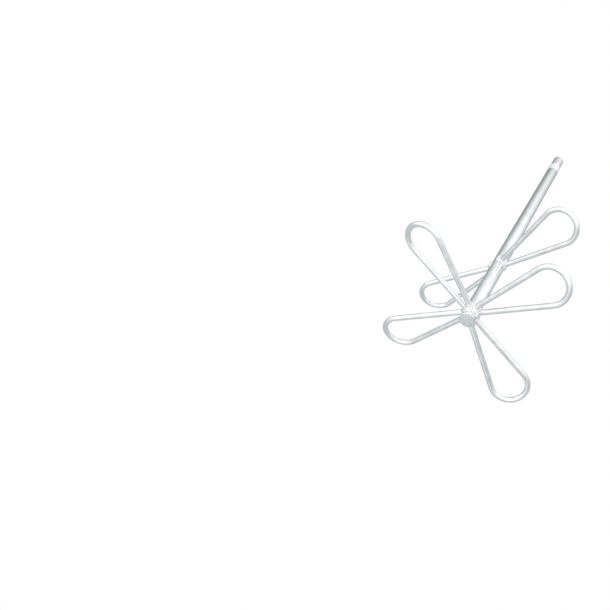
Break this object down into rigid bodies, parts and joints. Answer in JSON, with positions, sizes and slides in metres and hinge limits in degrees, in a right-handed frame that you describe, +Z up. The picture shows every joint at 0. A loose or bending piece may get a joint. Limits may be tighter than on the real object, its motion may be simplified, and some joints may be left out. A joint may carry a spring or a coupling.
{
  "type": "mortar mixing paddle",
  "caption": "Rigid welded mixing paddle: a straight tube with teardrop rod loops in two tiers, pitched like propeller blades, and a drive coupling on top.",
  "frame": {"origin": "centre of the flat bottom face of the end plug, on the shaft's axis", "axes": "+Z up the shaft to the drive end, +X along the first lower loop"},
  "size_m": [0.3032, 0.303, 0.6515],
  "materials": {
    "zinc_plate": "bright zinc plate, slightly green-blue, smooth with faint draw lines",
    "weld_metal": "rippled weld bead under the zinc plate, pale and satin",
    "turned_steel": "turned bare steel, neutral grey, fine lathe lines",
    "ground_end": "faced and ground end, blue-grey, matt"
  },
  "bodies": {
    "root": {"shaft_tube": "zinc_plate", "end_plug": "ground_end", "drive_coupling": "turned_steel", "coupling_weld_lower": "weld_metal", "coupling_weld_upper": "weld_metal", "loop_lower_1": "zinc_plate", "loop_lower_2": "zinc_plate", "loop_lower_3": "zinc_plate", "loop_lower_4": "zinc_plate", "loop_upper_1": "zinc_plate", "loop_upper_2": "zinc_plate", "root_weld_lower_1_top": "weld_metal", "root_weld_lower_1_bottom": "weld_metal", "root_weld_lower_2_top": "weld_metal", "root_weld_lower_2_bottom": "weld_metal", "root_weld_lower_3_top": "weld_metal", "root_weld_lower_3_bottom": "weld_metal", "root_weld_lower_4_top": "weld_metal", "root_weld_lower_4_bottom": "weld_metal", "root_weld_upper_1_top": "weld_metal", "root_weld_upper_1_bottom": "weld_metal", "root_weld_upper_2_top": "weld_metal", "root_weld_upper_2_bottom": "weld_metal"}
  },
  "joints": []
}
